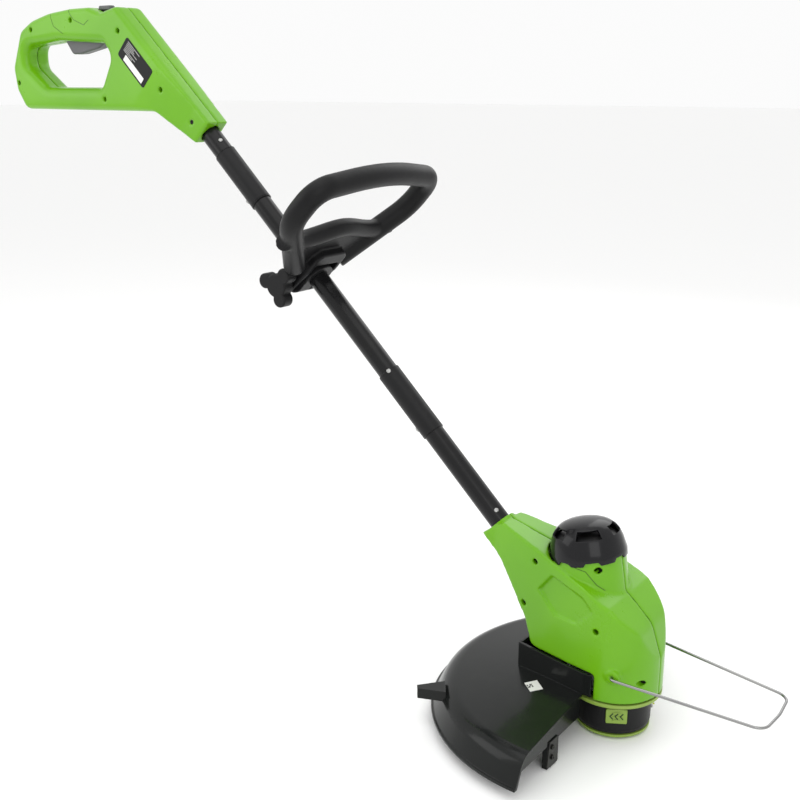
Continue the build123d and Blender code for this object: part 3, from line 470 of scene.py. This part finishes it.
for side, nodeName, pieceName in ((-1, "head_shell_right", "casingRight"),
                                  (1, "head_shell_left", "casingLeft")):
    piece = mergedCopy(nodeName)
    backing = prism(casing["panel"], side * 0.03, 0)      # keeps a wall behind the recess
    for vertex in backing.data.vertices:
        inner = abs(vertex.co.y) < 0.01
        vertex.co.y = sideDistance(vertex.co.x, side,
                                   casing["panelDepth"] + (casing["panelBack"] if inner else -0.001))
        vertex.co.xz = aroundPanel(vertex.co, casing["backSpread"])
    cutter = prism(casing["panel"], side * 0.1, 0)        # slanted walls down to the recess's floor
    for vertex in cutter.data.vertices:
        if abs(vertex.co.y) < 0.01:
            vertex.co.y = sideDistance(vertex.co.x, side, casing["panelDepth"])
            vertex.co.xz = aroundPanel(vertex.co, casing["floorTaper"])
    modify(piece, "BOOLEAN", operation="UNION", object=backing, solver="EXACT")
    bpy.data.objects.remove(backing)
    carve(piece, cutter)
    soften(piece, casing["voxel"], casing["passes"], casing["broad"], crispPlaces)
    casings[side] = complete(piece, pieceName, "green_shell", "frame", (nodeName,), angle=60)
    seam = wireThrough(acrossSurface(casings[side], casing["towerLine"], 6, side), casing["lineWidth"])
    complete(seam, pieceName + "TowerLine", "green_shell", "frame", material="groove_green")
print("head casing made")

# rear handle: two shells with the lines of the grip insert
handle = {"voxel": 0.00125, "passes": 5, "broad": 10, "lineWidth": 0.0003,
          "gripLines": [[(-0.8800, 0.7905), (-0.8720, 0.7720), (-0.8500, 0.7600)],
                        [(-0.8420, 0.7935), (-0.8280, 0.7790), (-0.8080, 0.7720), (-0.7960, 0.7790)]]}
handleCrisp = screwPlaces("handle_screws")
for side, nodeName, pieceName in ((-1, "handle_shell_right", "gripRight"),
                                  (1, "handle_shell_left", "gripLeft")):
    piece = mergedCopy(nodeName)
    soften(piece, handle["voxel"], handle["passes"], handle["broad"], handleCrisp)
    grip = complete(piece, pieceName, "green_shell", "frame", (nodeName,), angle=60)
    for number, path in enumerate(handle["gripLines"]):
        seam = wireThrough(acrossSurface(grip, path, 8, side), handle["lineWidth"])
        complete(seam, f"{pieceName}Line{number + 1}", "green_shell", "frame", material="groove_green")
print("rear handle made")

# soft mouldings: front handle, clamp, knob, trigger, button
softPieces = {
    "loop_handle": {"piece": "frontLoop", "voxel": 0.0013, "passes": 8, "body": "loop"},
    "clamp_saddle": {"piece": "clampBlock", "voxel": 0.0007, "passes": 3, "body": "clamp"},
    "clamp_knob": {"piece": "lobedKnob", "voxel": 0.0006, "passes": 4, "body": "knob"},
    "trigger": {"piece": "triggerLever", "voxel": 0.0006, "passes": 4, "body": "trigger"},
    "lock_off_button": {"piece": "lockOffSlide", "voxel": 0.0004, "passes": 3, "body": "lock_off"}}
for nodeName, settings in softPieces.items():
    piece = mergedCopy(nodeName)
    soften(piece, settings["voxel"], settings["passes"])
    complete(piece, settings["piece"], slotOf[nodeName], settings["body"], (nodeName,), angle=60)
print("soft mouldings made")

# spool spring, on a mesh of its own; on the trimmer it shortens as the bump cap is pressed
spring = complete(mergedCopy("spool_spring"), "bumpSpring", "steel", bodyOf("spool_spring"),
                  ("spool_spring",))
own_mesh(spring)
print("spool spring made")

# vented cap with a toothed hem, over a dark cage
cap = {"top": Vector((-0.0410, 0, 0.2030)), "lean": math.radians(-10), "segments": 96, "skin": 0.00154,
       "profile": [(0.0430, -0.0060), (0.0430, -0.0028), (0.0417, 0.0020), (0.0402, 0.0095),
                   (0.0375, 0.0165), (0.0338, 0.0220), (0.0285, 0.0265), (0.0225, 0.0292),
                   (0.0140, 0.0310), (0.0050, 0.0318)],
       "teeth": 8, "toothDrop": 0.0038, "edge": 0.0004,
       "vents": 5, "ventRings": (0.0165, 0.0265), "ventDepth": 0.0030, "ventLip": 0.0009,
       "ventShift": 0.14, "ventShare": 0.68}
capPlace = Matrix.Translation(cap["top"]) @ Matrix.Rotation(cap["lean"], 4, "Y")
firstRadius, firstHeight = cap["profile"][0]
bpy.ops.mesh.primitive_circle_add(vertices=cap["segments"], radius=firstRadius, location=(0, 0, 0))
dome = bpy.context.object
for vertex in dome.data.vertices:
    vertex.co.z = firstHeight
bpy.ops.object.mode_set(mode="EDIT")
bpy.ops.mesh.select_all(action="SELECT")
radius, height = cap["profile"][0]
for nextRadius, nextHeight in cap["profile"][1:]:
    bpy.ops.mesh.extrude_region_move(TRANSFORM_OT_translate={"value": (0, 0, nextHeight - height)})
    grow = nextRadius / radius
    bpy.ops.transform.resize(value=(grow, grow, 1), center_override=(0, 0, 0))
    radius, height = nextRadius, nextHeight
bpy.ops.mesh.edge_face_add()
bpy.ops.mesh.select_all(action="SELECT")
bpy.ops.mesh.normals_make_consistent(inside=False)


def turnAround(place):
    return math.degrees(math.atan2(place.y, place.x)) % 360


def inTooth(place):
    return (turnAround(place) * cap["teeth"] / 360) % 1 < 0.5


pick("vertices", lambda v: v.co.z < firstHeight + 0.0001 and inTooth(v.co))
bpy.ops.transform.translate(value=(0, 0, -cap["toothDrop"]))
pick("polygons", lambda f: cap["ventRings"][0] < f.center.z < cap["ventRings"][1]
     and (turnAround(f.center) * cap["vents"] / 360 + cap["ventShift"]) % 1 < cap["ventShare"])
bpy.ops.mesh.inset(thickness=cap["ventLip"], depth=0)
bpy.ops.mesh.extrude_region_move(TRANSFORM_OT_translate={"value": (0, 0, 0)})
bpy.ops.transform.shrink_fatten(value=-cap["ventDepth"])
bpy.ops.mesh.delete(type="FACE")                  # open vents with a lip round each
bpy.ops.object.mode_set(mode="OBJECT")
modify(dome, "SOLIDIFY", thickness=cap["skin"], offset=-1)
modify(dome, "BEVEL", width=cap["edge"], segments=2, limit_method="ANGLE", angle_limit=math.radians(35))
placeBy(dome, capPlace)
complete(dome, "ventedCap", "black_shell", "frame", ("motor_cap",), material="cap_black")
cageShape = {"radius": 0.0370, "depth": 0.020, "shoulder": 0.010, "rise": 0.008, "edge": 0.002}
bpy.ops.mesh.primitive_cylinder_add(vertices=64, radius=cageShape["radius"], depth=cageShape["depth"])
cage = bpy.context.object
pick("polygons", lambda f: f.normal.z > 0.9)
bpy.ops.mesh.inset(thickness=cageShape["shoulder"], depth=cageShape["rise"])
bpy.ops.mesh.bevel(offset=cageShape["edge"], segments=2)
bpy.ops.object.mode_set(mode="OBJECT")
placeBy(cage, capPlace)
complete(cage, "intakeCage", "black_shell", "frame")
print("cap made")

# screws with cross recesses
screwLook = {"recess": 0.0011, "slot": 0.0009, "length": 0.0040, "edge": 0.00025}
slotAlong = Vector((0.3, 0.2, 0.9))


def crossedScrews(nodeName, pieceName, outward):
    # every loose solid of a screw node gets a cross cut in its outer end
    piece = mergedCopy(nodeName)
    bpy.ops.object.mode_set(mode="EDIT")
    bpy.ops.mesh.select_all(action="SELECT")
    bpy.ops.mesh.separate(type="LOOSE")
    bpy.ops.object.mode_set(mode="OBJECT")
    singles = list(bpy.context.selected_objects)
    for single in singles:
        ends = [v.co @ outward for v in single.data.vertices]
        top = [v.co for v in single.data.vertices if v.co @ outward > max(ends) - 0.0001]
        centre = sum(top, Vector()) / len(top)
        bars = []
        for quarter in (0, 1):
            bpy.ops.mesh.primitive_cube_add(size=1)
            bar = bpy.context.object
            placeBy(bar, turnedTo(outward, slotAlong, centre)
                    @ Matrix.Rotation(quarter * math.pi / 2, 4, "Z")
                    @ Matrix.Diagonal((screwLook["length"], screwLook["slot"], 2 * screwLook["recess"], 1)))
            bars.append(bar)
        for bar in bars:
            carve(single, bar)
        modify(single, "BEVEL", width=screwLook["edge"], segments=2, limit_method="ANGLE",
               angle_limit=math.radians(50))
    whole = joined(singles)
    complete(whole, pieceName, slotOf[nodeName], bodyOf(nodeName), (nodeName,), material="screw_dark")


crossedScrews("handle_screws", "handleScrews", rightward)
crossedScrews("cutter_screws", "cutterScrews", Vector((1, 0, 0)))
crossedScrews("guard_screws", "guardScrews", Vector((0, 0, -1)))
print("screws made")

# labels: a blank strip and rows of bars, and a plain chequer on the guard
rating = {"along": 0.911, "above": -0.011, "right": 0.02442, "strip": (0.044, 0.0085, 0.00025),
          "stripAt": (-0.003, 0.0085), "rows": 7, "rowGap": 0.0023, "rowHeight": 0.0008, "rowLength": 0.020,
          "rowSwing": 0.008, "rowEnd": 0.026, "rowTop": 0.002}


def plate(place, sizeX, sizeY, thickness, rounding):
    # a thin plate lying in the local XY plane, with its long edges rounded
    bpy.ops.mesh.primitive_cube_add(size=1)
    piece = bpy.context.object
    placeBy(piece, Matrix.Diagonal((sizeX, sizeY, thickness, 1)))
    pick("edges", lambda e: abs(piece.data.vertices[e.vertices[0]].co.z
                                - piece.data.vertices[e.vertices[1]].co.z) > thickness / 2)
    bpy.ops.mesh.bevel(offset=rounding, segments=4)
    bpy.ops.object.mode_set(mode="OBJECT")
    placeBy(piece, place)
    return piece


ratingPlace = turnedTo(rightward, shaftDir, onShaft(rating["along"], rating["above"], rating["right"]))
strip = plate(ratingPlace @ Matrix.Translation((*rating["stripAt"], 0)), *rating["strip"], 0.0006)
complete(strip, "ratingStrip", "label_light", "frame")
rowPieces = []
for row in range(rating["rows"]):
    length = rating["rowLength"] + rating["rowSwing"] * math.sin(row * 2.4)
    offset = Vector((rating["rowEnd"] - length / 2, rating["rowTop"] - row * rating["rowGap"], 0))
    rowPieces.append(plate(ratingPlace @ Matrix.Translation(offset), length, rating["rowHeight"], 0.0002,
                           0.00015))
complete(joined(rowPieces), "ratingRows", "label_light", "frame", material="print_grey")

chequer = {"cells": 4, "cell": 0.0014, "pitch": 0.0016, "start": (0.0015, -0.0035), "lift": 0.00035,
           "thickness": 0.0002, "corner": 0.0001, "guardMiddle": -0.0095, "guardSlope": 0.0902}
low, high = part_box("guard_label")
labelCentre = (low + high) / 2
labelFlat = Vector((labelCentre.x - chequer["guardMiddle"], labelCentre.y, 0)).normalized()
labelUp = (Vector((0, 0, 1)) + labelFlat * chequer["guardSlope"]).normalized()
labelPlace = turnedTo(labelUp, labelFlat, labelCentre)
blocks = []
for column in range(chequer["cells"]):
    for row in range(chequer["cells"]):
        if (column * 3 + row * 5) % 7 < 4:        # an even scatter that says nothing
            spot = Vector((chequer["start"][0] + column * chequer["pitch"],
                           chequer["start"][1] + row * chequer["pitch"], chequer["lift"]))
            blocks.append(plate(labelPlace @ Matrix.Translation(spot), chequer["cell"], chequer["cell"],
                                chequer["thickness"], chequer["corner"]))
complete(joined(blocks), "guardLabelMarks", "label_dark", "frame")
print("labels made")

# latch chevrons
chevron = {"step": 0.0056, "arm": 0.0050, "width": 0.0013, "thickness": 0.0005, "corner": 0.0002,
           "lean": 48, "spread": 0.0017, "out": 0.04185, "height": 0.029}
for latchBody, turn in (("latch_right", 300), ("latch_left", 120)):
    out = Vector((math.cos(math.radians(turn)), math.sin(math.radians(turn)), 0))
    face = turnedTo(out, Vector((0, 0, 1)).cross(out),
                    out * chevron["out"] + Vector((0, 0, chevron["height"])))
    arms = []
    for number in (-1, 0, 1):
        for lean in (-1, 1):
            arms.append(plate(face
                              @ Matrix.Translation((number * chevron["step"], lean * chevron["spread"], 0))
                              @ Matrix.Rotation(lean * math.radians(chevron["lean"]), 4, "Z"),
                              chevron["arm"], chevron["width"], chevron["thickness"], chevron["corner"]))
    complete(joined(arms), latchBody + "Chevrons", "lime", latchBody, material="groove_green")
print("chevrons made")

# rivets and sleeve rings on the tubes
fittings = {"rivets": [(0.750, 0.0125, 62), (0.374, 0.0139, 40), (0.164, 0.0125, 55)],
            "radius": 0.0026, "thickness": 0.0016, "crown": 0.0008, "rise": 0.0005, "edge": 0.0003,
            "ringAt": (0.653, 0.736, 0.2845, 0.3755), "ringRadius": 0.01325, "ringWire": 0.00085}
for number, (along, reach, turn) in enumerate(fittings["rivets"]):
    bpy.ops.mesh.primitive_cylinder_add(vertices=32, radius=fittings["radius"], depth=fittings["thickness"])
    rivet = bpy.context.object
    pick("polygons", lambda f: f.normal.z > 0.9)
    bpy.ops.mesh.inset(thickness=fittings["crown"], depth=fittings["rise"])
    bpy.ops.mesh.bevel(offset=fittings["edge"], segments=2)
    bpy.ops.object.mode_set(mode="OBJECT")
    out = shaftUp * math.sin(math.radians(turn)) + rightward * math.cos(math.radians(turn))
    placeBy(rivet, turnedTo(out, shaftDir, onShaft(along) + out * reach))
    complete(rivet, f"rivet{number + 1}", "steel", "frame")
for number, along in enumerate(fittings["ringAt"]):
    bpy.ops.mesh.primitive_circle_add(vertices=10, radius=fittings["ringWire"],
                                      location=(fittings["ringRadius"], 0, 0), rotation=(math.pi / 2, 0, 0))
    ring = bpy.context.object
    bpy.ops.object.transform_apply(location=True, rotation=True, scale=True)
    bpy.ops.object.mode_set(mode="EDIT")
    bpy.ops.mesh.select_all(action="SELECT")
    bpy.ops.mesh.spin(steps=64, angle=2 * math.pi, center=(0, 0, 0), axis=(0, 0, 1))
    bpy.ops.mesh.select_all(action="SELECT")
    bpy.ops.mesh.remove_doubles(threshold=mergeReach)
    bpy.ops.mesh.normals_make_consistent(inside=False)
    bpy.ops.object.mode_set(mode="OBJECT")
    placeBy(ring, turnedTo(shaftDir, shaftUp, onShaft(along)))
    complete(ring, f"sleeveRing{number + 1}", "tube_black", "frame")
print("tube fittings made")

# floor
floorLook = {"size": 60, "height": -0.0006, "colour": (0.955, 0.955, 0.95), "roughness": 0.7}
bpy.ops.mesh.primitive_plane_add(size=floorLook["size"], location=(0, 0, floorLook["height"]))
floor = bpy.context.object
floor.name = "floor"
floorPaint = bpy.data.materials.new("floorPaint")
floorPaint.use_nodes = True
floorShader = floorPaint.node_tree.nodes["Principled BSDF"]
floorShader.inputs["Base Color"].default_value = (*floorLook["colour"], 1)
floorShader.inputs["Roughness"].default_value = floorLook["roughness"]
floor.data.materials.append(floorPaint)
